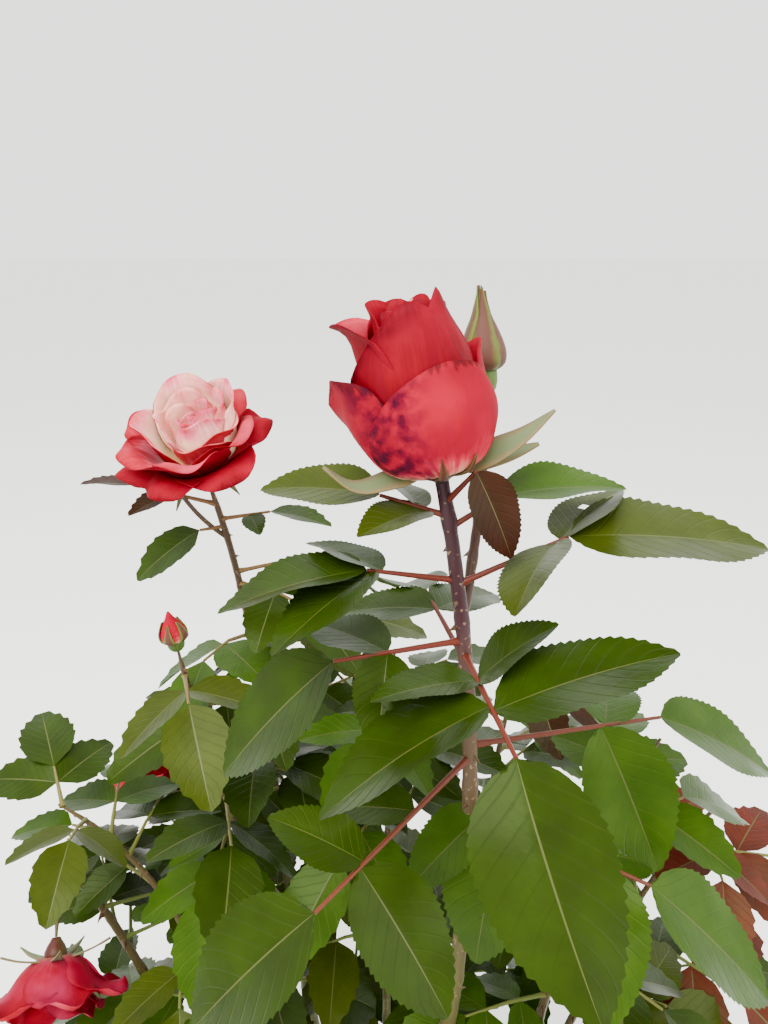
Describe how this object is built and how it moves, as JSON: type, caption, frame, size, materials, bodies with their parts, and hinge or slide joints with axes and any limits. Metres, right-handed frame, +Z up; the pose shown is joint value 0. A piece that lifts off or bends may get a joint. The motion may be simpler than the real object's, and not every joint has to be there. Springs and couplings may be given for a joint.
{
  "type": "rose bush",
  "caption": "Garden rose bush rooted in the ground: grafted foot, fanned canes, glossy compound leaves, large red and cream blooms and pointed buds.",
  "frame": {"origin": "middle of the flat cut under the foot, at ground level", "axes": "+Z up along the height of the bush, the largest half-open bloom and its leaf fan lean towards -Y, +X to the right as seen from that side"},
  "size_m": [0.5147, 0.439, 0.6974],
  "materials": {
    "cane_bark": "smooth olive brown bark",
    "young_cane": "smooth purple red skin",
    "leaf": "glossy dark green leaf",
    "petal": "satin red petal, cream below",
    "sepal": "matte green and red sepal"
  },
  "bodies": {
    "root": {"foot": "cane_bark", "cane_main": "cane_bark", "cane_left": "cane_bark", "cane_left_low": "cane_bark", "cane_right": "cane_bark", "cane_back_right": "cane_bark", "cane_back": "cane_bark", "cane_front": "cane_bark", "cane_front_right": "cane_bark", "cane_front_left": "cane_bark", "cane_heart": "cane_bark", "cane_left_middle": "young_cane", "cane_left_outer": "young_cane", "cane_right_outer": "young_cane", "cane_back_left": "young_cane", "cane_bud_shoot": "young_cane", "half_open_bloom": "petal", "open_bloom": "petal", "blown_bloom": "petal", "back_bloom": "petal", "tall_bud": "sepal", "small_bud": "sepal", "leaf_front_fan": "leaf", "leaf_left_fan": "leaf", "leaf_right_fan": "leaf", "leaf_upper_left_fan": "leaf", "leaf_upper_right_leaf": "leaf", "leaf_bronze_leaf": "leaf", "leaf_middle_left_fan": "leaf", "leaf_lower_front_fan": "leaf", "leaf_lower_right_fan": "leaf", "leaf_middle_right_fan": "leaf", "leaf_back_fan": "leaf", "foliage_left": "leaf", "foliage_left_low": "leaf", "foliage_right": "leaf", "foliage_back_right": "leaf", "foliage_back": "leaf", "foliage_front": "leaf", "foliage_front_right": "leaf", "foliage_front_left": "leaf", "foliage_heart": "leaf", "foliage_left_middle": "leaf", "foliage_left_outer": "leaf", "foliage_right_outer": "leaf", "foliage_back_left": "leaf"}
  },
  "joints": []
}
